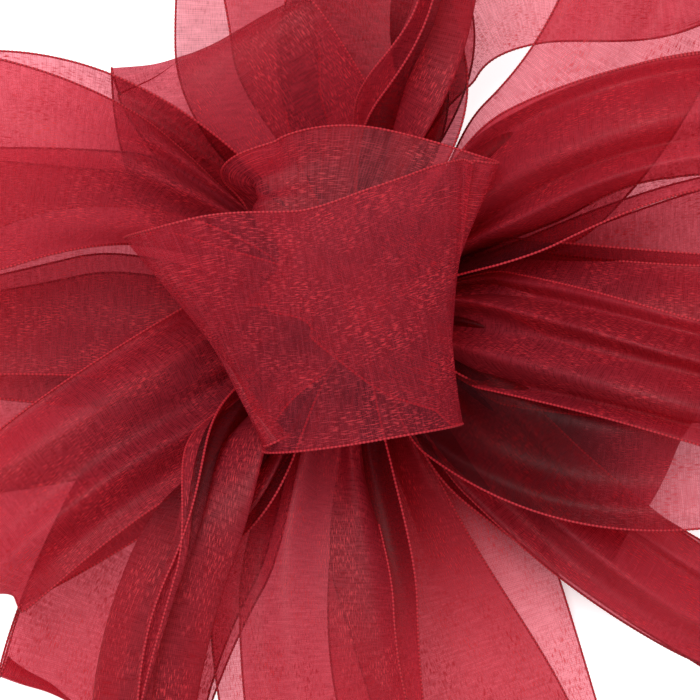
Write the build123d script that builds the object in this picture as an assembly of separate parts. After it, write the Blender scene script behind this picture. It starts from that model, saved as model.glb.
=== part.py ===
"""Pre-made gift bow: a hand-tied, many-looped bow of sheer organza ribbon.

One length of ribbon makes a centre loop, seventeen loops round it and two tails. All of it is
pinched together at the waist and cinched there by a paper-covered wire tie, whose two legs are
left free at the back to fix the bow to a parcel.

Frame: millimetres, the bow lies on its back with its face up (+Z); +Y runs towards the top loop
and the tails leave towards -Y. The origin is the middle of the flat back of the waist.
"""

import os
from collections import namedtuple
from math import cos, pi, radians, sin

from build123d import *

# ---- driving dimensions ---------------------------------------------------------------------
RIBBON_WIDTH = 38.0        # number 9 ribbon, one and a half inches
RIBBON_THICKNESS = 0.35    # crisp organza with its sizing, as a solid
GATHERED_SHARE = 0.14      # share of the width that is left where the waist pinches it
PLY_GAP = 0.8              # rise from a loop's far strand to its near strand at the waist

BOW_RADIUS = 72.0          # from the axis to the fold of a usual loop
TAIL_LENGTH = 118.0        # from the axis to the end of the longer tail
HEAD_RADIUS = 6.0          # crushed pleats, where the loops leave the waist
HEAD_BOTTOM = 3.1
HEAD_HEIGHT = 11.5
NECK_RADIUS = 4.6          # the pinch under the head, inside the wire tie
HEAD_CHAMFER = 0.3
ROOT_BURY = 1.5            # length that a strand is drawn into the head before it is trimmed to it

TIE_CLEARANCE = 0.05       # between the tie and the pinched neck
TIE_THICKNESS = 0.9        # paper strip of the tie, over its wire
TIE_WIDTH = 2.4
TIE_HEIGHT = 1.7           # middle of the tie above the back of the waist
TWIST_TURNS = 2
TWIST_LENGTH = 7.0
TWIST_SECTION = (3.0, 1.5)
TWIST_STEPS = 12           # flat sections along the twist
TWIST_HEADING = -24.0
LEG_LENGTH = 34.0
LEG_WIDTH = 3.6
LEG_PAPER = 0.3            # two layers of paper, either side of the wire
LEG_WIRE_RADIUS = 0.35     # wire with its paper over it
LEG_GAP = 0.3              # along the twist, from its end to the legs' roots
LEG_OFFSET = 2.4           # from the twist's axis to each leg's root
LEG_SPREAD = 14.0          # degrees from the twist's heading to each leg's

RISE_RUN = 46.0            # distance from the waist over which a loop climbs to its own tier
TILT_START = 16.0          # distance from the axis at which a strand starts to roll over
TILT_RUN = 32.0
LOOP_STEPS = 32            # flat sections along a loop, round its fold
TAIL_STEPS = 16
CENTRE_STEPS = 3           # sections between two stations of the centre loop

# Heights at which the pinched plies leave the head, from the back of the bow to its face.
PLY_PITCH = 1.6            # from one tier of loops to the next
SEAT_GAP = 0.2             # extra room between the low tier and the middle one
TAIL_GAP = 0.45            # from one tail to the next, and to the loops that lie under the rest
PLY_BACK_TAIL = 3.7
PLY_FRONT_TAIL = PLY_BACK_TAIL + TAIL_GAP
PLY_UNDER = PLY_FRONT_TAIL + TAIL_GAP
PLY_LOW = PLY_UNDER + PLY_GAP + SEAT_GAP + PLY_GAP / 2
PLY_MIDDLE = PLY_LOW + PLY_PITCH + SEAT_GAP
PLY_MIDDLE_TOP = PLY_MIDDLE + PLY_PITCH
PLY_HIGH = PLY_MIDDLE_TOP + PLY_PITCH
PLY_HIGH_TOP = PLY_HIGH + PLY_PITCH

# A strand bows sideways by `bow` mm (right of its heading is positive), rolls over by `tilt`
# degrees, and opens to `share` of the ribbon's width.
Strand = namedtuple("Strand", "bow tilt share")
# A loop leaves at `heading` degrees from +X, folds back `longer` mm past the usual radius at the
# height `rise`, is `swell` mm open, leaves the head at `level`, and opens over `fan` mm.
Loop = namedtuple("Loop", "heading longer rise swell level far near fan")
Tail = namedtuple("Tail", "heading longer level end bow share fan")

LOOPS = {
    "loop_top": Loop(95, -6, 7, 9, PLY_LOW, Strand(-6, 4, .97), Strand(3.5, 4, .97), 34),
    "loop_top_left": Loop(119, -28, 20.5, 7, PLY_MIDDLE_TOP,
                          Strand(-6, 6, .82), Strand(1, 6, .86), 22),
    "loop_top_narrow": Loop(77, -12, 34, 3, PLY_HIGH_TOP,
                            Strand(2, -84, .44), Strand(1, -84, .44), 30),
    "loop_upper_right": Loop(49, 0, 17.5, 7, PLY_MIDDLE + .2,
                             Strand(-24, -2, .82), Strand(8, -4, .66), 28),
    "loop_right_upper": Loop(25, -6, 35, 9, PLY_HIGH_TOP + .3,
                             Strand(-5, -10, .52), Strand(-7, -10, .48), 26),
    "loop_right_back": Loop(3, -4, 11, 6, PLY_LOW + PLY_GAP / 2,
                            Strand(1, -4, .85), Strand(-1, -4, .9), 62),
    "loop_right": Loop(-5, -2, 23, 7, PLY_MIDDLE_TOP,
                       Strand(0, -6, .6), Strand(2.5, -6, .62), 18),
    "loop_right_lower": Loop(-14, 0, 32, 9, PLY_HIGH,
                             Strand(12, -8, .66), Strand(-1, -10, .47), 14),
    "loop_right_under": Loop(-29, -18, 5.2, 2.4, PLY_UNDER,
                             Strand(0, 0, .82), Strand(0, 0, .82), 36),
    "loop_lower_right": Loop(-40, 6, 13.5, 9, PLY_LOW,
                             Strand(4.5, -20, .46), Strand(3.5, -22, .45), 26),
    "loop_bottom": Loop(-90, 8, 23, 6, PLY_MIDDLE_TOP,
                        Strand(4, 0, .70), Strand(8, 0, .72), 40),
    "loop_bottom_left": Loop(-113, 10, 35, 5, PLY_HIGH,
                             Strand(8.5, 86, .4), Strand(8.5, 86, .4), 28),
    "loop_lower_left": Loop(-122, 2, 8.5, 5, PLY_LOW, Strand(0, 3, 1.0), Strand(0, 3, 1.0), 40),
    "loop_left_low": Loop(-146, -2, 19.5, 9, PLY_MIDDLE,
                          Strand(-2, -6, .5), Strand(2.5, -8, .62), 16),
    "loop_left_under": Loop(-167, -4, 3.6, 2.6, PLY_UNDER,
                            Strand(0, 0, .85), Strand(-2, 0, .8), 34),
    "loop_left": Loop(176, 0, 10.5, 7, PLY_LOW, Strand(5, 3, .8), Strand(7.5, 3, .86), 30),
    "loop_left_upper": Loop(165, 1, 33, 11, PLY_HIGH + .4,
                            Strand(13, 6, .8), Strand(10, 8, .85), 74),
}
TAILS = {
    "tail_front": Tail(-66, 0, PLY_FRONT_TAIL, 1.8, 12, .88, 62),
    "tail_back": Tail(-73, -10, PLY_BACK_TAIL, .8, -1, .87, 36),
}
# The centre loop runs up the left, over the face to the right, down and back under itself.
# Each station: x, y, z, heading of its width in degrees, tilt of its width, share of the width.
CENTRE = [
    (0, -2.4, 15.2, 110, 0, .11), (-7, -4, 20.5, 112, 3, .32), (-15, -5, 27, 118, 6, .62),
    (-20.5, -5.8, 34, 125, 12, .92), (-21.8, -5.6, 39, 127, 14, 1), (-18, -5.3, 43.5, 120, 14, 1),
    (-5, -4.4, 46.5, 99, 12, .93), (7, -1.5, 45.5, 90, 8, .98), (13.5, .5, 42, 86, 5, 1.03),
    (14.7, 1.5, 38, 85, 3, 1.03), (12, 3.5, 35, 85, 0, 1), (-1.7, 10, 33.5, 89, -6, .85),
    (-11, 10.5, 33, 100, -8, .68), (-13.5, 9.5, 30.5, 110, -8, .55), (-8.5, 6, 24, 106, -3, .31),
    (-1.2, 2.4, 16.4, 96, 0, .11),
]


# ---- ribbon paths ---------------------------------------------------------------------------
def smooth(x):
    """Ease from 0 to 1 with flat ends."""
    x = min(max(x, 0.0), 1.0)
    return x * x * (3 - 2 * x)


def heading_axes(heading):
    """Unit vectors along a heading and to its right, in the plan."""
    a = radians(heading)
    return Vector(cos(a), sin(a), 0), Vector(sin(a), -cos(a), 0)


def opened(radius, share, fan):
    """Width of a strand, from the pinch at the head to its full share `fan` mm further out."""
    grown = smooth((radius - HEAD_RADIUS) / fan) ** 0.8
    return RIBBON_WIDTH * (GATHERED_SHARE + (share - GATHERED_SHARE) * grown)


def loop_station(loop, s):
    """Middle of a loop's ribbon, the direction across it and its width, for s from 0 to 1."""
    ahead, right = heading_axes(loop.heading)
    out = sin(pi * s) ** 2
    radius = HEAD_RADIUS + (BOW_RADIUS + loop.longer - HEAD_RADIUS) * out
    turn = smooth((s - 0.35) / 0.3)
    bow = loop.far.bow * (1 - turn) + loop.near.bow * turn
    tilt = loop.far.tilt * (1 - turn) + loop.near.tilt * turn
    share = loop.far.share * (1 - turn) + loop.near.share * turn
    level = loop.level + PLY_GAP * turn
    tilt = radians(tilt * smooth((radius - TILT_START) / TILT_RUN))
    climb = sin(min((radius - HEAD_RADIUS) / RISE_RUN, 1.0) * pi / 2)
    opening = -loop.swell / 1.3 * sin(2 * pi * s) * out
    side = 4 * bow * out * (1 - out) - opening * sin(tilt)
    height = level * (1 - climb) + loop.rise * climb + opening * cos(tilt)
    middle = ahead * radius + right * side + Vector(0, 0, height)
    return middle, right * cos(tilt) + Vector(0, 0, sin(tilt)), opened(radius, share, loop.fan)


def tail_station(tail, s):
    """Middle of a tail, the direction across it and its width."""
    ahead, right = heading_axes(tail.heading)
    radius = HEAD_RADIUS + (TAIL_LENGTH + tail.longer - HEAD_RADIUS) * s
    height = tail.level + (tail.end - tail.level) * smooth(1.2 * s)
    middle = ahead * radius + right * (tail.bow * sin(pi * s)) + Vector(0, 0, height)
    return middle, right, opened(radius, tail.share, tail.fan)


def centre_station(_, s):
    """A smooth curve through the centre loop's stations."""
    place = s * (len(CENTRE) - 1)
    i = min(int(place), len(CENTRE) - 2)
    f = place - i
    first = [2 * a - b for a, b in zip(CENTRE[0], CENTRE[1])]
    last = [2 * a - b for a, b in zip(CENTRE[-1], CENTRE[-2])]
    knots = [first, *CENTRE, last][i:i + 4]
    x, y, z, head, tilt, share = [
        0.5 * (2 * b + (c - a) * f + (2 * a - 5 * b + 4 * c - d) * f ** 2
               + (3 * b - a - 3 * c + d) * f ** 3)
        for a, b, c, d in zip(*knots)]
    across = Vector(cos(radians(tilt)) * cos(radians(head)),
                    cos(radians(tilt)) * sin(radians(head)), sin(radians(tilt)))
    return Vector(x, y, z), across, RIBBON_WIDTH * share


def section_frames(station, item, count, buried):
    """Flat sections along a ribbon: middle, direction across, width and direction along."""
    frames = []
    for k in range(count + 1):
        s = k / count
        middle, across, width = station(item, s)
        step = 0.25 / count
        ahead, behind = station(item, min(s + step, 1))[0], station(item, max(s - step, 0))[0]
        along = (ahead - behind).normalized()
        frames.append((middle, (across - along * across.dot(along)).normalized(), width, along))
    middle, across, width, along = frames[0]
    frames.insert(0, (middle - along * ROOT_BURY, across, width, along))
    if "end" in buried:
        middle, across, width, along = frames[-1]
        frames.append((middle + along * ROOT_BURY, across, width, along))
    return frames


def skin(rings):
    """A closed solid of flat triangles over four-cornered rings, from one end to the other."""
    outlines = [rings[0][::-1], rings[-1]]
    for near, far in zip(rings, rings[1:]):
        for i, j in ((0, 1), (1, 2), (3, 0)):
            outlines += [near[i], near[j], far[j]], [near[i], far[j], far[i]]
        # The third side is creased along the same diagonal as the first, to keep the thickness.
        outlines += [near[2], near[3], far[2]], [near[3], far[3], far[2]]
    return Solid(Shell([Face(Wire.make_polygon(outline)) for outline in outlines]))


def ribbon(station, item, count, buried):
    """A thin strip skinned over its sections; buried ends run on into the head."""
    rings = []
    for middle, across, width, along in section_frames(station, item, count, buried):
        side, up = across * (width / 2), along.cross(across) * (RIBBON_THICKNESS / 2)
        rings.append([middle - side - up, middle + side - up, middle + side + up, middle - side + up])
    return skin(rings)


# ---- pieces ---------------------------------------------------------------------------------
def make_waist_gather():
    """The crushed pleats: a neck pinched by the tie under a head of plies with eased rims."""
    neck = Pos(0, 0, HEAD_BOTTOM / 2) * Cylinder(NECK_RADIUS, HEAD_BOTTOM)
    head = Pos(0, 0, HEAD_BOTTOM + HEAD_HEIGHT / 2) * Cylinder(HEAD_RADIUS, HEAD_HEIGHT)
    rims = head.edges().filter_by(GeomType.CIRCLE)
    return neck + chamfer(rims, HEAD_CHAMFER)


def make_ribbon(station, item, count, buried, head):
    """A strand or loop, with its roots trimmed to the head that they leave."""
    return ribbon(station, item, count, buried) - head


def make_twist(start):
    """The closing twist of the tie, a flat section turned as it runs out along +X."""
    half_high, half_wide = TWIST_SECTION[0] / 2, TWIST_SECTION[1] / 2
    corners = ((half_wide, half_high), (-half_wide, half_high),
               (-half_wide, -half_high), (half_wide, -half_high))
    rings = []
    for k in range(TWIST_STEPS + 1):
        turned = 2 * pi * TWIST_TURNS * k / TWIST_STEPS
        reach = start + (TWIST_LENGTH + TIE_THICKNESS / 2) * k / TWIST_STEPS
        rings.append([Vector(reach, y * cos(turned) - z * sin(turned),
                             y * sin(turned) + z * cos(turned)) for y, z in corners])
    return skin(rings)


def make_waist_tie():
    """The band of paper-covered wire round the neck, and the twist that closes it."""
    inner = NECK_RADIUS + TIE_CLEARANCE
    outer = inner + TIE_THICKNESS
    band = Cylinder(outer, TIE_WIDTH) - Cylinder(inner, TIE_WIDTH)
    band = chamfer(band.edges().filter_by(GeomType.CIRCLE), TIE_THICKNESS / 4)
    twist = make_twist(outer - TIE_THICKNESS / 2)
    return Pos(0, 0, TIE_HEIGHT) * Rot(0, 0, TWIST_HEADING) * (band + twist)


def leg_hinge(side):
    """Root of a leg at the twist's end: its place, and the heading that the leg takes."""
    ahead, right = heading_axes(TWIST_HEADING)
    reach = NECK_RADIUS + TIE_CLEARANCE + TIE_THICKNESS + TWIST_LENGTH + LEG_GAP
    root = ahead * reach + right * (side * LEG_OFFSET)
    return root + Vector(0, 0, LEG_WIRE_RADIUS), TWIST_HEADING - side * LEG_SPREAD


def make_leg(side):
    """One free end of the tie: a flat paper strip with the wire as a rib down its middle."""
    root, heading = leg_hinge(side)
    paper = Box(LEG_LENGTH, LEG_WIDTH, LEG_PAPER, align=(Align.MIN, Align.CENTER, Align.CENTER))
    paper = fillet(paper.edges().filter_by(Axis.Z), LEG_WIDTH / 8)
    wire = Rot(0, 90, 0) * Cylinder(LEG_WIRE_RADIUS, LEG_LENGTH,
                                    align=(Align.CENTER, Align.CENTER, Align.MIN))
    return Pos(*root) * Rot(0, 0, heading) * (paper + wire)


def main():
    os.makedirs("parts", exist_ok=True)
    head = make_waist_gather()
    pieces = {"waist_gather": head, "waist_tie": make_waist_tie(),
              "tie_leg_left": make_leg(1), "tie_leg_right": make_leg(-1)}
    for name, loop in LOOPS.items():
        pieces[name] = make_ribbon(loop_station, loop, LOOP_STEPS, ("start", "end"), head)
    for name, tail in TAILS.items():
        pieces[name] = make_ribbon(tail_station, tail, TAIL_STEPS, ("start",), head)
    centre_sections = CENTRE_STEPS * (len(CENTRE) - 1)
    pieces["centre_loop"] = make_ribbon(centre_station, None, centre_sections, ("start", "end"), head)
    for name, solid in pieces.items():
        export_step(solid, f"parts/{name}.step")


main()
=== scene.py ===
from collections import namedtuple
from math import pi, radians

import bpy
import numpy as np
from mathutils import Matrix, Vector


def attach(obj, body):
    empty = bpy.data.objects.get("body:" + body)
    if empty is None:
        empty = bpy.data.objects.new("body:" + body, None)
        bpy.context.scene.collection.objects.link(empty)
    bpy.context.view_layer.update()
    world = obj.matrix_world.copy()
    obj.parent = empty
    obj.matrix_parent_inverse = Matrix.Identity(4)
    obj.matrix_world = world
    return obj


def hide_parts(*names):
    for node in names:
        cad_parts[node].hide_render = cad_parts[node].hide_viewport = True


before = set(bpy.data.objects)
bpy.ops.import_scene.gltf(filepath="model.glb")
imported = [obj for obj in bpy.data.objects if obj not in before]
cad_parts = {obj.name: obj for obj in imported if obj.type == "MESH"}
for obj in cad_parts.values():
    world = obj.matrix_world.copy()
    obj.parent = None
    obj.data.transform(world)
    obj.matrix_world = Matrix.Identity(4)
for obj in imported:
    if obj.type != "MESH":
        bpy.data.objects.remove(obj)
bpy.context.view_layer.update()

# %% [markdown]
# The bow is looked at from straight above through a long lens, so the camera comes first. A short
# lens close by would show the sides of the loops and spread the tails. A long lens from 0.9 m
# keeps the loops' true proportions. It needs no turning: a new camera already looks straight down.
# %% Camera
CAMERA_PLACE = (-0.00075, -0.00746, 0.895)   # metres
CAMERA_LENS = 299.8                          # millimetres, on a sensor 36 mm wide

camera_data = bpy.data.cameras.new("camera")
camera_data.type = "PERSP"
camera_data.sensor_width = 36.0
camera_data.lens = CAMERA_LENS
camera_data.clip_start = 0.05
camera_data.clip_end = 5.0
camera = bpy.data.objects.new("camera", camera_data)
camera.location = CAMERA_PLACE
bpy.context.scene.collection.objects.link(camera)
bpy.context.scene.camera = camera
print("camera at", camera.location[:], "with a lens of", CAMERA_LENS, "mm")

# %% [markdown]
# ## How a ribbon bends
# Cloth ribbon bends along its length and hardly stretches. It could be draped by simulation, but
# a bow is pinched by hand, ply on ply, and its shape is known. So each strand here is a path with
# a width laid across it. The paths follow the same rules as the CAD solids: a strand leaves the
# waist at its own heading and level, climbs to its tier, folds back at its reach and returns.
# %% Sizes that all ribbons share, in metres
MM = 0.001
RIBBON_WIDTH = 38.0 * MM
GATHERED_SHARE = 0.14     # width of a ply in the pinch, as a share of the ribbon's
PLY_GAP = 0.8 * MM        # between the two plies of one loop
HEAD_RADIUS = 6.0 * MM    # of the crushed waist, where the strands start
RISE_RUN = 46.0 * MM      # a strand climbs to its tier over this distance
TILT_START = 16.0 * MM    # it starts to roll over here
TILT_RUN = 32.0 * MM      # and rolls over within this distance
BOW_RADIUS = 72.0 * MM
TAIL_LENGTH = 118.0 * MM
print("bow: %.0f mm across its loops, tails %.0f mm" % (2 * BOW_RADIUS / MM, TAIL_LENGTH / MM))

# %% [markdown]
# The strands leave the waist in tiers, one ply on the other, as they were laid. Putting them all
# at one height would be simpler, but then every loop would cut through its neighbours.
# %% Tiers at the waist, in millimetres above the table
PLY_BACK_TAIL = 3.7
PLY_FRONT_TAIL = 4.15
PLY_UNDER = 4.6
PLY_LOW = 6.0
PLY_MIDDLE = 7.8
PLY_MIDDLE_TOP = 9.4
PLY_HIGH = 11.0
PLY_HIGH_TOP = 12.6
print("tiers from", PLY_BACK_TAIL, "to", PLY_HIGH_TOP, "mm")

# %% [markdown]
# A table of headings, lengths and heights, in millimetres and degrees, describes the whole bow.
# Loops spaced evenly in a circle would look like a flower; a hand-tied bow is uneven, so every
# loop has a row of its own. The table repeats the CAD model's driving sizes, except that three
# loops at the left (loop_lower_left, loop_left and loop_left_upper) are cloth that has slid a few
# millimetres from there and opened a little more or less. A strand bows sideways, rolls over by
# its tilt and opens to a share of the ribbon's width.
# %% The loops and tails
Strand = namedtuple("Strand", "bow tilt share")
Loop = namedtuple("Loop", "heading longer rise swell level far near fan")
Tail = namedtuple("Tail", "heading longer level end bow share fan")

LOOPS = {
    "loop_top": Loop(95, -6, 7, 9, PLY_LOW, Strand(-6, 4, .97), Strand(3.5, 4, .97), 34),
    "loop_top_left": Loop(119, -28, 20.5, 7, PLY_MIDDLE_TOP,
                          Strand(-6, 6, .82), Strand(1, 6, .86), 22),
    "loop_top_narrow": Loop(77, -12, 34, 3, PLY_HIGH_TOP,
                            Strand(2, -84, .44), Strand(1, -84, .44), 30),
    "loop_upper_right": Loop(49, 0, 17.5, 7, PLY_MIDDLE + .2,
                             Strand(-24, -2, .82), Strand(8, -4, .66), 28),
    "loop_right_upper": Loop(25, -6, 35, 9, PLY_HIGH_TOP + .3,
                             Strand(-5, -10, .52), Strand(-7, -10, .48), 26),
    "loop_right_back": Loop(3, -4, 11, 6, PLY_LOW + .4,
                            Strand(1, -4, .85), Strand(-1, -4, .9), 62),
    "loop_right": Loop(-5, -2, 23, 7, PLY_MIDDLE_TOP,
                       Strand(0, -6, .6), Strand(2.5, -6, .62), 18),
    "loop_right_lower": Loop(-14, 0, 32, 9, PLY_HIGH,
                             Strand(12, -8, .66), Strand(-1, -10, .47), 14),
    "loop_right_under": Loop(-29, -18, 5.2, 2.4, PLY_UNDER,
                             Strand(0, 0, .82), Strand(0, 0, .82), 36),
    "loop_lower_right": Loop(-40, 6, 13.5, 9, PLY_LOW,
                             Strand(4.5, -20, .46), Strand(3.5, -22, .45), 26),
    "loop_bottom": Loop(-90, 8, 23, 6, PLY_MIDDLE_TOP,
                        Strand(4, 0, .70), Strand(8, 0, .72), 40),
    "loop_bottom_left": Loop(-113, 10, 35, 5, PLY_HIGH,
                             Strand(8.5, 86, .4), Strand(8.5, 86, .4), 28),
    "loop_lower_left": Loop(-122, 2, 8.5, 5, PLY_LOW, Strand(5, 3, .86), Strand(6, 3, .82), 40),
    "loop_left_low": Loop(-146, -2, 19.5, 9, PLY_MIDDLE,
                          Strand(-2, -6, .5), Strand(2.5, -8, .62), 16),
    "loop_left_under": Loop(-167, -4, 3.6, 2.6, PLY_UNDER,
                            Strand(0, 0, .85), Strand(-2, 0, .8), 34),
    "loop_left": Loop(176, 0, 10.5, 7, PLY_LOW, Strand(-1, 3, .95), Strand(3, 3, .9), 30),
    "loop_left_upper": Loop(165, 1, 33, 11, PLY_HIGH + .4,
                            Strand(13, 6, .8), Strand(8, 8, 1.0), 74),
}
TAILS = {
    "tail_front": Tail(-66, 0, PLY_FRONT_TAIL, 1.8, 12, .88, 62),
    "tail_back": Tail(-73, -10, PLY_BACK_TAIL, .8, -1, .87, 36),
}
print("ribbons:", len(LOOPS), "loops and", len(TAILS), "tails")

# %% [markdown]
# The centre loop is the bow's face, laid over the waist to hide it. It turns on itself freely, so
# no simple rule fits it. It goes through stations instead: a place in millimetres, which way its
# width points in degrees, and how far it has opened.
# %% Stations of the centre loop: x, y, z, heading and tilt of the width, share of the width
CENTRE = np.array([
    (0, -2.4, 15.2, 110, 0, .11), (-7, -4, 20.5, 112, 3, .32), (-15, -5, 27, 118, 6, .62),
    (-20.5, -5.8, 34, 125, 12, .92), (-21.8, -5.6, 39, 127, 14, 1), (-18, -5.3, 43.5, 120, 14, 1),
    (-5, -4.4, 46.5, 99, 12, .93), (7, -1.5, 45.5, 90, 8, .98), (13.5, .5, 42, 86, 5, 1.03),
    (14.7, 1.5, 38, 85, 3, 1.03), (12, 3.5, 35, 85, 0, 1), (-1.7, 10, 33.5, 89, -6, .85),
    (-11, 10.5, 33, 100, -8, .68), (-13.5, 9.5, 30.5, 110, -8, .55), (-8.5, 6, 24, 106, -3, .31),
    (-1.2, 2.4, 16.4, 96, 0, .11)])
print("centre loop:", len(CENTRE), "stations")

# %% [markdown]
# A path is worked out for a whole array of places at once, which is how numpy stays quick. A few
# helpers do what every path needs: ease from one value to another, and turn a heading into axes.
# %% Small helpers for arrays of vectors
UP = np.array([0.0, 0.0, 1.0])


def smooth(x):
    """Ease from 0 to 1 with flat ends: three times x squared, less twice x cubed."""
    x = np.clip(x, 0, 1)
    return x * x * (3 - 2 * x)


def unit(v):
    """Each row divided by its length, so that its length is one."""
    return v / np.linalg.norm(v, axis=-1, keepdims=True)


def heading_axes(heading):
    """Cosine and sine of a heading, and the same turned a quarter to the right."""
    a = radians(heading)
    return np.array([np.cos(a), np.sin(a), 0]), np.array([np.sin(a), -np.cos(a), 0])


print("a quarter of the way, smooth gives", smooth(0.25))

# %% [markdown]
# In the pinch a ply is crushed to a seventh of its width, and it fans out from there. A straight
# widening would look like a paper cone, so the width eases in and out over the strand's fan.
# %% How a strand fans out
FAN_POWER = 0.8      # below 1, so that a strand opens early and settles slowly


def opened(radius, share, fan):
    """Width of a strand: its share in the pinch, and the rest of its full share times the eased
    distance over its fan, to the fan's power."""
    grown = smooth((radius - HEAD_RADIUS) / (fan * MM)) ** FAN_POWER
    return RIBBON_WIDTH * (GATHERED_SHARE + (share - GATHERED_SHARE) * grown)


print("20 mm out, a ribbon is %.1f mm wide" % (opened(20 * MM, 1, 40) / MM))

# %% [markdown]
# A loop is one strand out and one strand back. A circle or an ellipse would stand up like a hoop,
# and a real loop lies over and sags into a teardrop. The squared sine takes it from the waist to
# its reach and home again, and the doubled sine opens the two strands.
# %% Path of a loop
TURN_START = 0.35      # here the outward strand starts to turn into the homeward one
TURN_RUN = 0.3         # and this much further on it has
TEARDROP_PEAK = 1.3    # twice the peak of the doubled sine times the squared sine
BOW_PEAK = 4           # brings the peak of out times its rest to one


def homeward(s):
    """0 on the strand that leaves the waist and 1 on the one that returns."""
    return smooth((s - TURN_START) / TURN_RUN)


def loop_path(loop, s):
    """Middle line, direction across and width of a loop, for s from 0 to 1. Its distance follows
    the squared sine of half a turn, its height a quarter sine of the distance, and its two strands
    part by the sine of a whole turn times the squared sine."""
    ahead, right = heading_axes(loop.heading)
    out = np.sin(pi * s) ** 2
    radius = HEAD_RADIUS + (BOW_RADIUS + loop.longer * MM - HEAD_RADIUS) * out
    turn = homeward(s)
    far, near = np.array(loop.far), np.array(loop.near)
    bow, tilt, share = far[:, None] + (near - far)[:, None] * turn
    tilt = np.radians(tilt) * smooth((radius - TILT_START) / TILT_RUN)
    climb = np.sin(np.clip((radius - HEAD_RADIUS) / RISE_RUN, 0, 1) * pi / 2)
    opening = -loop.swell * MM / TEARDROP_PEAK * np.sin(2 * pi * s) * out
    side = BOW_PEAK * bow * MM * out * (1 - out) - opening * np.sin(tilt)
    level = loop.level * MM + PLY_GAP * turn
    height = level * (1 - climb) + loop.rise * MM * climb + opening * np.cos(tilt)
    middle = radius[:, None] * ahead + side[:, None] * right + height[:, None] * UP
    across = np.cos(tilt)[:, None] * right + np.sin(tilt)[:, None] * UP
    return middle, across, opened(radius, share, loop.fan)


middle, _, width = loop_path(LOOPS["loop_top"], np.linspace(0, 1, 101))
print("loop_top folds back %.0f mm out, %.0f mm wide" % (middle[50, 1] / MM, width[50] / MM))

# %% [markdown]
# A tail is a strand that doesn't come back. It sinks to the table and lies flat to its cut end.
# %% Path of a tail
TAIL_SETTLES = 1.2     # over 1: the tail is down before its end


def tail_path(tail, s):
    """Middle line, direction across and width of a tail: a straight run out, half a sine to the
    side and an eased fall to the table."""
    ahead, right = heading_axes(tail.heading)
    radius = HEAD_RADIUS + (TAIL_LENGTH + tail.longer * MM - HEAD_RADIUS) * s
    height = (tail.level + (tail.end - tail.level) * smooth(TAIL_SETTLES * s)) * MM
    side = tail.bow * MM * np.sin(pi * s)
    middle = radius[:, None] * ahead + side[:, None] * right + height[:, None] * UP
    return middle, np.tile(right, (len(s), 1)), opened(radius, tail.share, tail.fan)


middle, _, _ = tail_path(TAILS["tail_front"], np.linspace(0, 1, 11))
print("tail_front ends %.1f mm above the table" % (middle[-1, 2] / MM))

# %% [markdown]
# Straight lines between the stations of the centre loop would leave creases. A Catmull-Rom curve
# passes through every station and keeps its direction there, and needs no handles to set.
# %% Path of the centre loop


def centre_path(stations, s):
    """A Catmull-Rom curve through the centre loop's stations: each value is a cubic of the place
    between two of them, whose slope at a station is half the step from its one neighbour to the
    other."""
    place = s * (len(stations) - 1)
    i = np.minimum(place.astype(int), len(stations) - 2)
    f = (place - i)[:, None]
    ends = 2 * stations[[0, -1]] - stations[[1, -2]]
    knots = np.vstack([ends[:1], stations, ends[1:]])
    a, b, c, d = knots[i], knots[i + 1], knots[i + 2], knots[i + 3]
    value = 0.5 * (2 * b + (c - a) * f + (2 * a - 5 * b + 4 * c - d) * f ** 2
                   + (3 * b - a - 3 * c + d) * f ** 3)
    head, tilt = np.radians(value[:, 3]), np.radians(value[:, 4])
    across = np.stack([np.cos(tilt) * np.cos(head), np.cos(tilt) * np.sin(head), np.sin(tilt)], 1)
    return value[:, :3] * MM, across, RIBBON_WIDTH * value[:, 5]


middle, _, _ = centre_path(CENTRE, np.linspace(0, 1, 101))
print("the centre loop stands %.0f mm high" % (middle[:, 2].max() / MM))

# %% [markdown]
# ## From path to cloth
# Where a strand is narrower than the ribbon, the spare width has to go somewhere. A bump texture
# could hint at it, but pleats show most at the edges, where a bump does nothing, so they are in
# the shape. Fine pleats take up the width at the pinch, where the plies press on each other.
# Further out they melt into two or three broad folds, and the strand curls over from edge to edge.
# A strand that opens slowly spreads into shallower folds. The edges wave a little, because the
# corded edge is stiffer than the sheer middle.
# %% Sizes of pleats, folds and curl
PLEATS = 7.0              # fine waves across the width
PLEAT_HEIGHT = 1.1 * MM
PLEAT_START = 6 * MM      # pleats grow to their height over this distance
PLEAT_REACH = 30 * MM     # and are gone at this one
PLEAT_SPARE = 3           # full height once a third of the width is spare
FOLDS = 2.3               # broad waves across the width
FOLD_HEIGHT = 2.5 * MM
FOLD_SPARE = 3.7          # growth of the folds with the spare width squared
FOLD_LIMIT = 1.2          # and the most of their height that they grow to
CALM_FAN = 36.0           # a strand that takes longer than this to open has shallower folds
CURL_SHARE = 0.6          # rise of the middle, as a share of the spare width squared
CURL_EVEN = 0.33          # mean of the parabola, so that the strand keeps its mean height
MOST_SPARE = 0.56         # a strand with more spare width than this curls no further
WAIST_RUN = 14 * MM       # folds, curl and waves grow over this distance
UNEVEN_SHARE = 0.05       # how far the waves crowd together across the width
UNEVEN_WAVES = 1.3        # and how many times over it
LEAN = 0.5                # the waves sway sideways by this many radians
LEAN_LENGTH = 23 * MM     # along the strand, for one radian of sway
EDGE_WAVE = 0.45 * MM
EDGE_LENGTH = 7.3 * MM    # along the edge, for one radian of its wave
print("pleats are %.1f mm apart on the open ribbon" % (RIBBON_WIDTH / PLEATS / MM))

# %% [markdown]
# The height of the cloth is a sum of these waves. Each ribbon starts them at places of its own,
# drawn from a seed, so that no two are alike and the bow comes out the same every time.
# %% Height of the cloth


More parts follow.
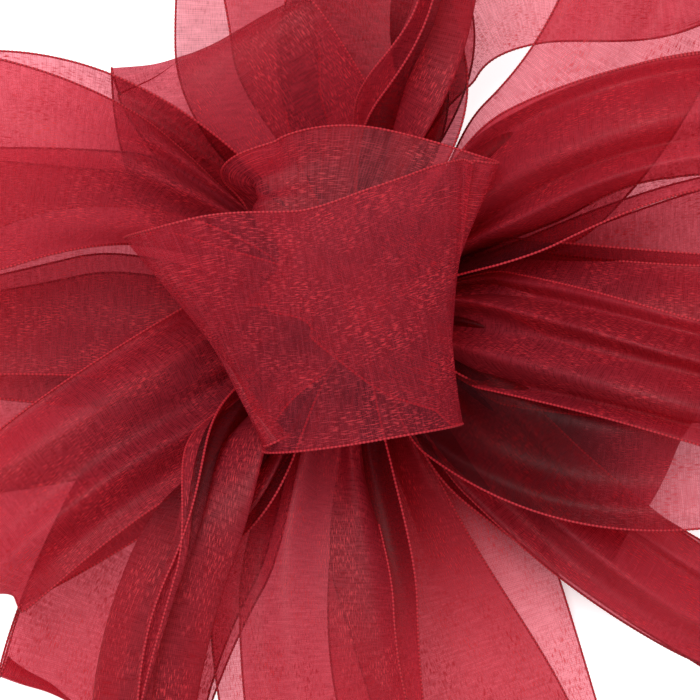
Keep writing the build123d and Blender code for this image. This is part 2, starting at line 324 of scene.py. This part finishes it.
def folds(across, shares, distance, calm, seed):
    """Height of the cloth over its flat strip: a parabola for the curl, a cosine for the broad
    folds, another for the pleats that fade with distance, and a slow sine along the edges."""
    rng = np.random.default_rng(seed)
    spare = np.clip(1 - shares, 0, 1)[:, None]
    u = across[None, :]
    out = distance[:, None]
    near_waist = smooth(out / WAIST_RUN)
    warped = u + UNEVEN_SHARE * np.sin(2 * pi * UNEVEN_WAVES * u + rng.uniform(0, 6))
    lean = LEAN * np.sin(out / LEAN_LENGTH + rng.uniform(0, 6))
    pleat = np.cos(2 * pi * (PLEATS + rng.uniform(-1, 1)) * warped + rng.uniform(0, 6) + lean)
    pleat_height = (PLEAT_HEIGHT * np.minimum(1, PLEAT_SPARE * spare) * smooth(out / PLEAT_START)
                    * (1 - smooth(out / PLEAT_REACH)))
    fold = np.cos(2 * pi * (FOLDS + rng.uniform(-0.5, 0.5)) * warped + rng.uniform(0, 6) + lean)
    fold_height = (FOLD_HEIGHT * calm * np.minimum(FOLD_LIMIT, FOLD_SPARE * spare ** 2)
                   * near_waist)
    curl = (CURL_SHARE * RIBBON_WIDTH * np.minimum(spare, MOST_SPARE) ** 2
            * (CURL_EVEN - (2 * u) ** 2) * near_waist)
    edge = np.abs(2 * u) ** 3
    wave = EDGE_WAVE * edge * np.sin(out / EDGE_LENGTH + rng.uniform(0, 6) + 4 * u)
    return pleat * pleat_height + fold * fold_height + curl + wave * near_waist


sample = folds(np.linspace(-0.5, 0.5, 50), np.array([0.5]), np.array([30 * MM]), 1.0, 0)
print("a strand opened to half its width is folded %.1f mm deep" % (np.ptp(sample) / MM))

# %% [markdown]
# Fine plies deep in a pinch keep the light out of the bow's middle. Modelling every thread of them
# would take millions of faces. Instead the shade is painted: each point of cloth carries a share
# of light that scales its threads' colour, less inside a loop, and least towards the waist.
# %% Painted shade on the threads
LOOP_PAINTED_SHADE = 0.8             # most shade painted on a loop's inside
LOOP_PAINTED_SHADE_START = 31 * MM   # painted shade is full up to here
LOOP_PAINTED_SHADE_RUN = 24 * MM     # and gone this much further out


def painted_light_share(path, item, s, from_waist):
    """Painted shade, as the share of light left in a thread's colour: one, less the shade times
    how far inside it is, eased away with the distance from the waist. The lowest loops lie
    wholly inside the bow."""
    if path is not loop_path:
        return np.ones_like(s)
    inside = 1 - homeward(s) if item.level > PLY_UNDER else 1.0
    return 1 - LOOP_PAINTED_SHADE * inside * (1 - smooth((from_waist - LOOP_PAINTED_SHADE_START) / LOOP_PAINTED_SHADE_RUN))


# painted shade: the deepest threads keep only this share of their colour
print("deepest threads get %.0f percent of the light" % (100 * (1 - LOOP_PAINTED_SHADE)))

# %% [markdown]
# Now the path, the width and the height of the cloth make a grid of points. The lowest plies are
# pressed against the table: what would go through it is bent back by a hyperbolic tangent, which
# flattens a fold gently where a plain limit would cut it off. Gathered threads lie closer
# together, and the grid keeps that count too.
# %% Points of one ribbon
ROWS = 300                # along a loop
COLUMNS = 96              # across the ribbon
LOWEST = 0.3 * MM         # the lowest cloth stays this far above the table
LEAST_ROOM = 0.1 * MM     # for a fold to bend down into
PACKING_LIMIT = 4.0       # threads lie at most this many times over
PACKING_SHARE = 0.6       # the rest of the spare width stands up in folds


def cloth_grid(path, item, rows, seed):
    """Points of a ribbon as rows along it and columns across it: the middle line, plus the width
    across it, plus the height of the cloth along its normal. Also the length along it at each row,
    and at each point how many times over its threads are packed and the painted shade on them."""
    s = np.linspace(0, 1, rows)
    middle, across, width = path(item, s)
    along = unit(np.gradient(middle, axis=0))
    across = unit(across - along * np.sum(across * along, 1, keepdims=True))
    normal = np.cross(along, across)
    step = np.linalg.norm(np.diff(middle, axis=0), axis=1)
    travelled = np.concatenate([[0], np.cumsum(step)])
    homewards = np.minimum(travelled, travelled[-1] - travelled)
    from_waist = travelled if path is tail_path else homewards
    u = np.linspace(-0.5, 0.5, COLUMNS)
    calm = 1.0 if path is centre_path else min(1.0, CALM_FAN / item.fan)
    lift = folds(u, width / RIBBON_WIDTH, from_waist, calm, seed)
    room = np.maximum(middle[:, 2:] - LOWEST, LEAST_ROOM)
    downward = lift * normal[:, 2:] < 0
    lift = np.where(downward, np.sign(lift) * room * np.tanh(np.abs(lift) / room), lift)
    points = (middle[:, None, :] + across[:, None, :] * (width[:, None] * u)[:, :, None]
              + normal[:, None, :] * lift[:, :, None])
    packing = np.clip(1 + PACKING_SHARE * (RIBBON_WIDTH / width - 1), 1, PACKING_LIMIT)
    # packing of the threads, and the painted shade that scales their colour
    thread = {"packing": np.repeat(packing, COLUMNS),
              "painted_light_share": np.repeat(painted_light_share(path, item, s, from_waist), COLUMNS)}
    return points, travelled, thread


points, _, _ = cloth_grid(centre_path, CENTRE, ROWS, 0)
print("the centre loop's cloth has", points.shape[0] * points.shape[1], "points")

# %% [markdown]
# Blender takes a grid fastest as flat arrays; adding faces one by one takes far longer. Each
# ribbon also gets a UV map in metres, across and along the cloth, so that the weave bends with it
# and keeps its real size.
# %% Grid to mesh


def grid_object(name, points, uv, closed=False):
    """A mesh of quads with smooth shading. Each joins two neighbouring columns of a row to the
    same two of the next row, and in a closed ring the last column is joined to the first."""
    rows, columns = points.shape[:2]
    wrap = columns if closed else columns - 1
    r, c = np.meshgrid(np.arange(rows - 1), np.arange(wrap), indexing="ij")
    right = (c + 1) % columns
    quads = np.stack([r * columns + c, r * columns + right,
                      (r + 1) * columns + right, (r + 1) * columns + c], -1).reshape(-1, 4)
    mesh = bpy.data.meshes.new(name)
    mesh.vertices.add(rows * columns)
    mesh.vertices.foreach_set("co", points.reshape(-1).astype(np.float32))
    mesh.loops.add(quads.size)
    mesh.loops.foreach_set("vertex_index", quads.reshape(-1).astype(np.int32))
    mesh.polygons.add(len(quads))
    mesh.polygons.foreach_set("loop_start", np.arange(0, quads.size, 4, dtype=np.int32))
    corner_uv = uv.reshape(-1, 2)[quads.reshape(-1)]
    layer = mesh.uv_layers.new(name="cloth")
    layer.data.foreach_set("uv", corner_uv.reshape(-1).astype(np.float32))
    mesh.update(calc_edges=True)
    mesh.validate()
    mesh.polygons.foreach_set("use_smooth", np.ones(len(mesh.polygons), dtype=bool))
    thing = bpy.data.objects.new(name, mesh)
    bpy.context.scene.collection.objects.link(thing)
    return thing


def ribbon_uv(travelled):
    """Every point's place across the flat ribbon and the length travelled along it, in metres."""
    u = np.linspace(-0.5, 0.5, COLUMNS) * RIBBON_WIDTH
    return np.stack(np.broadcast_arrays(u[None, :], travelled[:, None]), -1)


def keep_threads(thing, thread):
    """Keep the packing and the painted shade of the threads at each point, for the material."""
    for name, value in thread.items():
        layer = thing.data.attributes.new(name, "FLOAT", "POINT")
        layer.data.foreach_set("value", value.astype(np.float32))


print("a loop's cloth has", (ROWS - 1) * (COLUMNS - 1), "quads")

# %% [markdown]
# The corded edge is a bundle of heavier threads, bound by the weft, which gives it a row of
# small beads. A line drawn in the cloth's texture would be flat, and thin as paper from the side.
# A thin tube along each edge is round, and its radius swells and shrinks once a bead.
# %% Corded edges
CORD_RADIUS = 0.17 * MM
CORD_SIDES = 7
CORD_UV_WIDTH = 2 * MM    # once round the cord, in its UV map
BEAD_PITCH = 0.6 * MM
BEAD_SWELL = 0.16         # of the radius
ROWS_PER_BEAD = 6
ASKEW = UP + 0.01         # never quite along an edge, so that it always gives the tube a side


def cord_grid(line, rows):
    """A beaded tube along an edge: rings round a line of even steps, whose radius follows a sine
    of the length along it, one turn to a bead."""
    step = np.linalg.norm(np.diff(line, axis=0), axis=1)
    length = np.concatenate([[0], np.cumsum(step)])
    place = np.linspace(0, length[-1], rows)
    line = np.stack([np.interp(place, length, line[:, k]) for k in range(3)], 1)
    along = unit(np.gradient(line, axis=0))
    side = unit(np.cross(along, ASKEW))
    up = np.cross(side, along)
    turn = np.linspace(0, 2 * pi, CORD_SIDES, endpoint=False)
    radius = CORD_RADIUS * (1 + BEAD_SWELL * np.sin(2 * pi * place / BEAD_PITCH))
    ring = (np.cos(turn)[None, :, None] * side[:, None]
            + np.sin(turn)[None, :, None] * up[:, None])
    round_uv = turn[None, :] / (2 * pi) * CORD_UV_WIDTH
    uv = np.stack(np.broadcast_arrays(round_uv, place[:, None]), -1)
    return line[:, None] + radius[:, None, None] * ring, uv


print("an edge has %.0f beads in 100 mm" % (100 * MM / BEAD_PITCH))

# %% [markdown]
# ## Materials
# Colours are read as the eye gives them, sRGB, and light adds up in linear values, so each colour
# is turned from one into the other. Typing sRGB values straight into a shader makes it too pale.
# %% Colours in linear light


def linear(hex_colour):
    """sRGB hex to linear RGBA: a straight line near black and a power of 2.4 above."""
    value = np.array([int(hex_colour[i:i + 2], 16) for i in (1, 3, 5)]) / 255
    value = np.where(value <= 0.04045, value / 12.92, ((value + 0.055) / 1.055) ** 2.4)
    return (*value.tolist(), 1.0)


print("middle grey in linear light:", round(linear("#808080")[0], 3))

# %% [markdown]
# A material is a tree of nodes. Two helpers keep the code for a node short: its kind, its
# settings, and for each input either a value or the socket that feeds it.
# %% Node helpers


def add(tree, kind, inputs=None, **settings):
    """One node, with its settings, and its inputs set to values or joined to sockets."""
    node = tree.nodes.new("ShaderNode" + kind)
    for key, value in settings.items():
        setattr(node, key, value)
    for key, value in (inputs or {}).items():
        if isinstance(value, bpy.types.NodeSocket):
            tree.links.new(value, node.inputs[key])
        else:
            node.inputs[key].default_value = value
    return node


def new_material(name):
    """A material with an empty node tree and its output."""
    material = bpy.data.materials.new(name)
    material.use_nodes = True
    material.node_tree.nodes.clear()
    return material, material.node_tree, add(material.node_tree, "OutputMaterial")


print("materials so far:", len(bpy.data.materials))

# %% [markdown]
# Sheer organza works as a colour filter. Light from behind is tinted at each layer it passes,
# so one layer over white is pink and many layers are deep crimson. Plain alpha can't do that: it
# dims the background without tinting it. Two colours fix the filter: one layer over the bright
# ground, and a deep pile. If a layer passes T and adds R, a ground of brightness F behind it gives
# F T + R, and a lit pile gives R / (1 - T squared). Taking R from the first and putting it in the
# second leaves a quadratic in T. Half of a thread's light comes through it from behind, so a
# thread over the bright ground glows and one over a dark pile doesn't.
# %% Filter values of one layer
ONE_LAYER = linear("#E2959F")
DEEP_PILE = linear("#8A1E2B")
GROUND_BEHIND = 1.0      # brightness of the ground behind one layer
THREAD_COVER = 0.35      # share of a flat layer that is thread
GLOW_SHARE = 0.5         # share of a thread's light that comes through it from behind
LIT_SHARE = 1 - GLOW_SHARE / 2     # a deep pile is about half as bright behind as in front


def layer_filter(one, pile, ground):
    """Tint passed and light added by one layer, per channel, from the quadratic above."""
    one, pile = np.array(one[:3]), np.array(pile[:3])
    passed = (ground - np.sqrt(ground ** 2 - 4 * pile * (one - pile))) / (2 * pile)
    return passed, one - ground * passed


passed, added = layer_filter(ONE_LAYER, DEEP_PILE, GROUND_BEHIND)
SHEER_TINT = (*(passed / (1 - THREAD_COVER)).clip(0, 1).tolist(), 1.0)
THREAD_COLOUR = (*(added / THREAD_COVER / LIT_SHARE).clip(0, 1).tolist(), 1.0)
CROWDED_YARN = (*(np.array(DEEP_PILE[:3]) / LIT_SHARE).tolist(), 1.0)
print("passed", passed.round(3), "added", added.round(3))

# %% [markdown]
# The threads are about a quarter of a millimetre apart. Modelling each one would take millions of
# faces, so the weave is in the material: the cover rises and falls over each thread, with streaks
# where the weft is thicker. Short lengths of the silk-like warp add cover, and a brighter red as a
# painted highlight for the light they catch, as flecks that lie along the ribbon, in patches. Each
# pattern is noise, drawn out along one direction. Like threads, its waves are counted over 10 mm
# of cloth, first across the ribbon and then along it.
# %% Patterns of the weave
THREAD_PITCH = 0.27 * MM
WEAVE_DEPTH = 0.05       # rise and fall of the cover over each thread
STREAK_DEPTH = 0.11      # and over each streak
COUNTED_OVER = 10 * MM
STREAKS = (3, 26)        # each about 3.3 mm across the ribbon and 0.4 mm along it
STREAK_BAND = (0.3, 0.7)
PATCHES = (1.5, 1.1)     # 6.7 mm and 9 mm
PATCH_BAND = (0.4, 0.62)
LEAST_PATCH = 0.15       # flecks that are left between the patches
FLECKS = (52, 9)         # 0.2 mm and 1.1 mm
FLECK_BAND = (0.52, 0.64)
FLECK_COVER = 0.6
# painted highlight: the brighter red of the flecks, for light glinting off the warp
PAINTED_GLINT_COLOUR = linear("#E8404C")


def thread_wave(tree, socket):
    """A sine along one direction of the cloth, one wave per thread."""
    turn = add(tree, "Math", {0: socket, 1: 2 * pi / THREAD_PITCH}, operation="MULTIPLY")
    return add(tree, "Math", {0: turn.outputs[0]}, operation="SINE").outputs[0]


def stretched_noise(tree, cloth, counts, band, least, most):
    """Noise drawn out along one direction, cut to a band and spread from least to most."""
    scale = (counts[0] / COUNTED_OVER, counts[1] / COUNTED_OVER, 1)
    place = add(tree, "Mapping", {"Vector": cloth, "Scale": scale}).outputs[0]
    noise = add(tree, "TexNoise", {"Vector": place, "Scale": 1.0, "Detail": 2.0}).outputs["Fac"]
    return add(tree, "MapRange", {"Value": noise, "From Min": band[0], "From Max": band[1],
                                  "To Min": least, "To Max": most}).outputs[0]


print("threads: %.0f over 10 mm" % (COUNTED_OVER / THREAD_PITCH))

# %% [markdown]
# The organza itself mixes two shaders: thread, and the tinted gap between threads. A glass or
# transmission shader would bend the light, which cloth doesn't. Where the ribbon is gathered to
# half its width it has twice the threads and filters as two layers would, so what passes is
# raised to the power of the packing. A thread is part lit from the front, with a satin shine, and
# part translucent.
# %% Sheer organza
CROWDED_PACKING = 3.0    # from here on the yarn has the colour of a deep pile
THREAD_ROUGHNESS = 0.5
THREAD_SHINE = 0.4
THREAD_BUMP = 0.15
THREAD_HEIGHT = 0.04 * MM
CRUSHED_COVER = 0.95     # hardly a gap is left between threads in the waist


def make_organza(name, cover):
    """Woven, see-through ribbon: a tinted see-through shader mixed with a shiny thread, whose
    colour carries painted highlight flecks and painted shade.
    """
    material, tree, output = new_material(name)
    cloth = add(tree, "UVMap", uv_map="cloth").outputs["UV"]
    split = add(tree, "SeparateXYZ", {"Vector": cloth})
    weave = add(tree, "Math", {0: thread_wave(tree, split.outputs["X"]),
                               1: thread_wave(tree, split.outputs["Y"])}, operation="ADD")
    packing = add(tree, "Attribute", attribute_name="packing").outputs["Fac"]
    # painted shade: this share scales the yarn's colour and its flecks down
    painted_light = add(tree, "Attribute", attribute_name="painted_light_share").outputs["Fac"]
    streaks = stretched_noise(tree, cloth, STREAKS, STREAK_BAND,
                              cover - STREAK_DEPTH, cover + STREAK_DEPTH)
    patches = stretched_noise(tree, cloth, PATCHES, PATCH_BAND, LEAST_PATCH, painted_light)
    # flecks: real extra thread cover, and the mask of the painted highlight colour
    cover_and_painted_glint = stretched_noise(tree, cloth, FLECKS, FLECK_BAND, 0.0, patches)
    threads = add(tree, "Math", {0: weave.outputs[0], 1: WEAVE_DEPTH, 2: streaks},
                  operation="MULTIPLY_ADD")
    flecked = add(tree, "Math", {0: cover_and_painted_glint, 1: FLECK_COVER, 2: threads.outputs[0]},
                  operation="MULTIPLY_ADD", use_clamp=True)
    open_share = add(tree, "Math", {0: 1.0, 1: flecked.outputs[0]}, operation="SUBTRACT")
    open_share = add(tree, "Math", {0: open_share.outputs[0], 1: packing}, operation="POWER")
    tint = add(tree, "Gamma", {"Color": SHEER_TINT, "Gamma": packing})
    crowded = add(tree, "MapRange", {"Value": packing, "From Min": 1.0,
                                     "From Max": CROWDED_PACKING})
    yarn = add(tree, "Mix", {"Factor": crowded.outputs[0], "A": THREAD_COLOUR, "B": CROWDED_YARN},
               data_type="RGBA")
    # painted highlight: the flecks take a brighter red
    colour = add(tree, "Mix", {"Factor": cover_and_painted_glint, "A": yarn.outputs["Result"], "B": PAINTED_GLINT_COLOUR},
                 data_type="RGBA")
    # painted shade: the colour is scaled by the painted light share here
    seen = add(tree, "VectorMath", {0: colour.outputs["Result"], "Scale": painted_light},
               operation="SCALE").outputs[0]
    bump = add(tree, "Bump", {"Height": weave.outputs[0], "Strength": THREAD_BUMP,
                              "Distance": THREAD_HEIGHT})
    thread = add(tree, "BsdfPrincipled",
                 {"Base Color": seen, "Roughness": THREAD_ROUGHNESS,
                  "Specular IOR Level": THREAD_SHINE, "Normal": bump.outputs[0]})
    glow = add(tree, "BsdfTranslucent", {"Color": seen})
    yarn_light = add(tree, "MixShader", {0: GLOW_SHARE, 1: thread.outputs[0], 2: glow.outputs[0]})
    sheer = add(tree, "BsdfTransparent", {"Color": tint.outputs[0]})
    mix = add(tree, "MixShader", {0: open_share.outputs[0], 1: yarn_light.outputs[0],
                                  2: sheer.outputs[0]})
    tree.links.new(mix.outputs[0], output.inputs["Surface"])
    return material


organza = make_organza("sheer_organza", THREAD_COVER)
crushed = make_organza("crushed_organza", CRUSHED_COVER)
print("materials", organza.name, crushed.name)

# %% [markdown]
# The edge cord is the same yarn packed close, so it is a solid red. Its colour follows the same
# sine as the tube's radius, a painted highlight on top of each bead and painted shade between.
# %% Edge cord
# painted highlight on the beads and painted shade between them
EDGE_PAINTED_HIGHLIGHT = linear("#C4303B")
EDGE_PAINTED_SHADE = linear("#8E1C27")
EDGE_ROUGHNESS = 0.45
EDGE_SHINE = 0.15


def make_edge():
    """Corded yarn: painted highlight and painted shade reds on bead and gap, and a satin shine."""
    material, tree, output = new_material("corded_edge")
    cloth = add(tree, "UVMap", uv_map="cloth").outputs["UV"]
    split = add(tree, "SeparateXYZ", {"Vector": cloth})
    turn = add(tree, "Math", {0: split.outputs["Y"], 1: 2 * pi / BEAD_PITCH},
               operation="MULTIPLY")
    bead = add(tree, "Math", {0: turn.outputs[0]}, operation="SINE")
    share = add(tree, "MapRange", {"Value": bead.outputs[0], "From Min": -1.0, "From Max": 1.0})
    # painted highlight on each bead's top, painted shade in the gaps
    colour = add(tree, "Mix", {"Factor": share.outputs[0], "A": EDGE_PAINTED_SHADE, "B": EDGE_PAINTED_HIGHLIGHT},
                 data_type="RGBA")
    shader = add(tree, "BsdfPrincipled",
                 {"Base Color": colour.outputs["Result"], "Roughness": EDGE_ROUGHNESS,
                  "Specular IOR Level": EDGE_SHINE})
    tree.links.new(shader.outputs[0], output.inputs["Surface"])
    return material


edge = make_edge()
print("material", edge.name)

# %% [markdown]
# ## Laying the ribbons
# Every ribbon stands for its CAD node and rides on the bow. One mesh for the whole bow would be
# quicker to make, but then no loop could be picked, swapped or checked by itself.
# %% One ribbon with its two edges
LOOP_SEED = 11            # each ribbon adds its number, so that no two have the same folds
TAIL_SEED = 41
CENTRE_SEED = 5


def lay_ribbon(name, path, item, rows, seed):
    """Cloth and two edge cords for one CAD node. Gives the length of ribbon laid."""
    points, travelled, thread = cloth_grid(path, item, rows, seed)
    cloth = grid_object(name + "_cloth", points, ribbon_uv(travelled))
    keep_threads(cloth, thread)
    cloth.data.materials.append(organza)
    cords = []
    for side, column in (("a", 0), ("b", -1)):
        tube, uv = cord_grid(points[:, column], int(travelled[-1] / BEAD_PITCH * ROWS_PER_BEAD))
        cord = grid_object(f"{name}_edge_{side}", tube, uv, closed=True)
        cord.data.materials.append(edge)
        cords.append(cord)
    for piece in (cloth, *cords):
        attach(piece, "bow")
        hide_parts(name)
    return travelled[-1]


total = 0.0
for number, (name, loop) in enumerate(LOOPS.items()):
    total += lay_ribbon(name, loop_path, loop, ROWS, LOOP_SEED + number)
for number, (name, tail) in enumerate(TAILS.items()):
    total += lay_ribbon(name, tail_path, tail, ROWS // 2, TAIL_SEED + number)
total += lay_ribbon("centre_loop", centre_path, CENTRE, ROWS, CENTRE_SEED)
print("length of ribbon laid: %.2f m" % total)

# %% [markdown]
# ## The waist
# Under the centre loop the plies are crushed into a tight bunch of pleats. Every ply could be
# carried on through the pinch, but only the bunch's shape shows, dark through the layers over it.
# So it is a fluted post with a pinched neck: a profile turned round, and a cosine for the flutes.
# %% Crushed pleats
NECK_RADIUS = 4.6 * MM
NECK_TOP = 2.7 * MM
HEAD_BOTTOM = 3.1 * MM
HEAD_TOP = 14.6 * MM
TIP_RADIUS = 0.2 * MM     # the rings at both ends all but close
FLUTES = 17
FLUTE_DEPTH = 0.06        # of the radius, either side of its mean
FLUTE_TWIST = 2 * MM      # height over which the flutes turn by one radian
GATHER_PROFILE = np.array([
    (TIP_RADIUS, 0.0), (NECK_RADIUS, 0.0), (NECK_RADIUS, NECK_TOP), (0.0056, HEAD_BOTTOM),
    (HEAD_RADIUS, 0.0036), (HEAD_RADIUS, 0.0138), (0.0052, HEAD_TOP), (TIP_RADIUS, HEAD_TOP)])
GATHER_RINGS = 90
GATHER_SIDES = 170


def make_gather():
    """Rings whose radius follows a neck and head profile, less a cosine round it for the flutes,
    which turns as it climbs."""
    step = np.linalg.norm(np.diff(GATHER_PROFILE, axis=0), axis=1)
    reach = np.concatenate([[0], np.cumsum(step)])
    place = np.linspace(0, reach[-1], GATHER_RINGS)
    radius, height = (np.interp(place, reach, GATHER_PROFILE[:, k]) for k in (0, 1))
    turn = np.linspace(0, 2 * pi, GATHER_SIDES, endpoint=False)
    wave = np.cos(FLUTES * turn[None, :] + height[:, None] / FLUTE_TWIST)
    ring = radius[:, None] * (1 - FLUTE_DEPTH * (1 + wave))
    points = np.stack([ring * np.cos(turn), ring * np.sin(turn),
                       np.broadcast_to(height[:, None], ring.shape)], -1)
    round_uv = (turn * HEAD_RADIUS)[None, :]
    uv = np.stack(np.broadcast_arrays(round_uv, place[:, None]), -1)
    gather = grid_object("waist_gather_pleats", points, uv, closed=True)
    gather.data.materials.append(crushed)
    count = len(gather.data.vertices)
    keep_threads(gather, {"packing": np.full(count, PACKING_LIMIT), "painted_light_share": np.ones(count)})
    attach(gather, "bow")
    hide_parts("waist_gather")
    return gather


gather = make_gather()
print("waist:", FLUTES, "flutes,", len(gather.data.polygons), "faces")

# %% [markdown]
# The tie is wire between two strips of paper, dyed to match the ribbon and slightly fibrous. Its
# band, twist and legs are right in the CAD model, so they keep their shape here and only get a
# finish. Paper has no shine to speak of; its fibres show as two close tones and a slight bump.
# %% Paper of the tie
PAPER = linear("#7C1C28")
PAPER_SHADE = linear("#64141E")
FIBRES = 18               # over 10 mm: each a little over half a millimetre
FIBRE_BUMP = 0.3
FIBRE_HEIGHT = 0.05 * MM
PAPER_ROUGHNESS = 0.85


def make_paper():
    """Uncoated paper: two close tones from fine noise, matte."""
    material, tree, output = new_material("tie_paper")
    place = add(tree, "TexCoord").outputs["Object"]
    fibre = add(tree, "TexNoise", {"Vector": place, "Scale": FIBRES / COUNTED_OVER,
                                   "Detail": 4.0})
    colour = add(tree, "Mix", {"Factor": fibre.outputs["Fac"], "A": PAPER_SHADE, "B": PAPER},
                 data_type="RGBA")
    bump = add(tree, "Bump", {"Height": fibre.outputs["Fac"], "Strength": FIBRE_BUMP,
                              "Distance": FIBRE_HEIGHT})
    shader = add(tree, "BsdfPrincipled",
                 {"Base Color": colour.outputs["Result"], "Roughness": PAPER_ROUGHNESS,
                  "Normal": bump.outputs[0]})
    tree.links.new(shader.outputs[0], output.inputs["Surface"])
    return material


TIE_NODES = ("waist_tie", "tie_leg_left", "tie_leg_right")
paper = make_paper()
for node in TIE_NODES:
    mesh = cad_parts[node].data
    mesh.materials.clear()
    mesh.materials.append(paper)
print("paper on", *TIE_NODES)

# %% [markdown]
# ## Light and ground
# The bow lies on a white sweep, bright enough to lose every shadow round it. More light would
# whiten the ground but wash out the ribbon. So the ground is matte white, and a glow that only the
# camera sees lifts it past white. The bow has no metal or glass to mirror the ground, so no other
# ray gets the glow. The glow fades out in a painted disc of shade under the bow, on the side away
# from the window, where the ground's real shadow shows too.
# %% Ground
GROUND_SIZE = 3.0
GROUND_HEIGHT = -0.0005                # just under the bow
GROUND_COLOUR = (0.8, 0.8, 0.8, 1.0)
GROUND_GLOW = 0.85
PAINTED_SHADOW_PLACE = (0.020, -0.016, 0.0)     # metres: centre of the painted disc of shade, away from the window
PAINTED_SHADOW_RADII = (0.014, 0.046)           # no glow up to the first, all of it from the second


def make_ground():
    """A wide matte floor and a glow that only the camera sees, eased out in a painted disc of
    shade.
    """
    s = GROUND_SIZE / 2
    mesh = bpy.data.meshes.new("ground")
    mesh.from_pydata([(-s, -s, 0), (s, -s, 0), (s, s, 0), (-s, s, 0)], [], [(0, 1, 2, 3)])
    ground = bpy.data.objects.new("ground", mesh)
    bpy.context.scene.collection.objects.link(ground)
    material, tree, output = new_material("white_sweep")
    seen = add(tree, "LightPath").outputs["Is Camera Ray"]
    place = add(tree, "TexCoord").outputs["Object"]
    away = add(tree, "VectorMath", {0: place, 1: PAINTED_SHADOW_PLACE}, operation="DISTANCE")
    # painted shadow: no glow near the disc's centre, full glow past its outer radius
    glow_outside_painted_shadow = add(tree, "MapRange", {"Value": away.outputs["Value"],
                                         "From Min": PAINTED_SHADOW_RADII[0], "From Max": PAINTED_SHADOW_RADII[1],
                                         "To Min": 0.0, "To Max": GROUND_GLOW},
                      interpolation_type="SMOOTHSTEP")
    glow = add(tree, "Math", {0: seen, 1: glow_outside_painted_shadow.outputs[0]}, operation="MULTIPLY")
    matte = add(tree, "BsdfDiffuse", {"Color": GROUND_COLOUR})
    white = add(tree, "Emission", {"Color": (1.0, 1.0, 1.0, 1.0), "Strength": glow.outputs[0]})
    both = add(tree, "AddShader", {0: matte.outputs[0], 1: white.outputs[0]})
    tree.links.new(both.outputs[0], output.inputs["Surface"])
    mesh.materials.append(material)
    return ground


ground = make_ground()
ground.location.z = GROUND_HEIGHT
print("ground", GROUND_SIZE, "m across")

# %% [markdown]
# Light comes mostly from high over the top loop, from one large soft window. A sun lamp would
# throw hard shadows through the weave, and a dome alone would leave the folds flat. So there are
# both a window, for the folds, and a dome of white fill, which opens the shadows.
# %% Lamps
WINDOW_PLACE = (-0.18, 0.33, 0.92)
WINDOW_TARGET = (0, 0, 0.02)
WINDOW_SIZE = 0.45
WINDOW_POWER = 7.2
FILL = 0.5


def area_lamp(name, place, target, size, power):
    """A square lamp that faces a target."""
    lamp = bpy.data.lights.new(name, "AREA")
    lamp.shape = "SQUARE"
    lamp.size = size
    lamp.energy = power
    thing = bpy.data.objects.new(name, lamp)
    bpy.context.scene.collection.objects.link(thing)
    thing.location = place
    aim = np.array(target) - np.array(place)
    thing.rotation_euler = Vector(aim).to_track_quat("-Z", "Y").to_euler()
    return thing


window = area_lamp("window", WINDOW_PLACE, WINDOW_TARGET, WINDOW_SIZE, WINDOW_POWER)
world = bpy.data.worlds.new("studio")
world.use_nodes = True
background = world.node_tree.nodes["Background"]
background.inputs["Color"].default_value = (1.0, 1.0, 1.0, 1.0)
background.inputs["Strength"].default_value = FILL
bpy.context.scene.world = world
bpy.context.scene.view_settings.view_transform = "Standard"
print("lamp", window.name, "of", WINDOW_POWER, "W and a dome of", FILL)
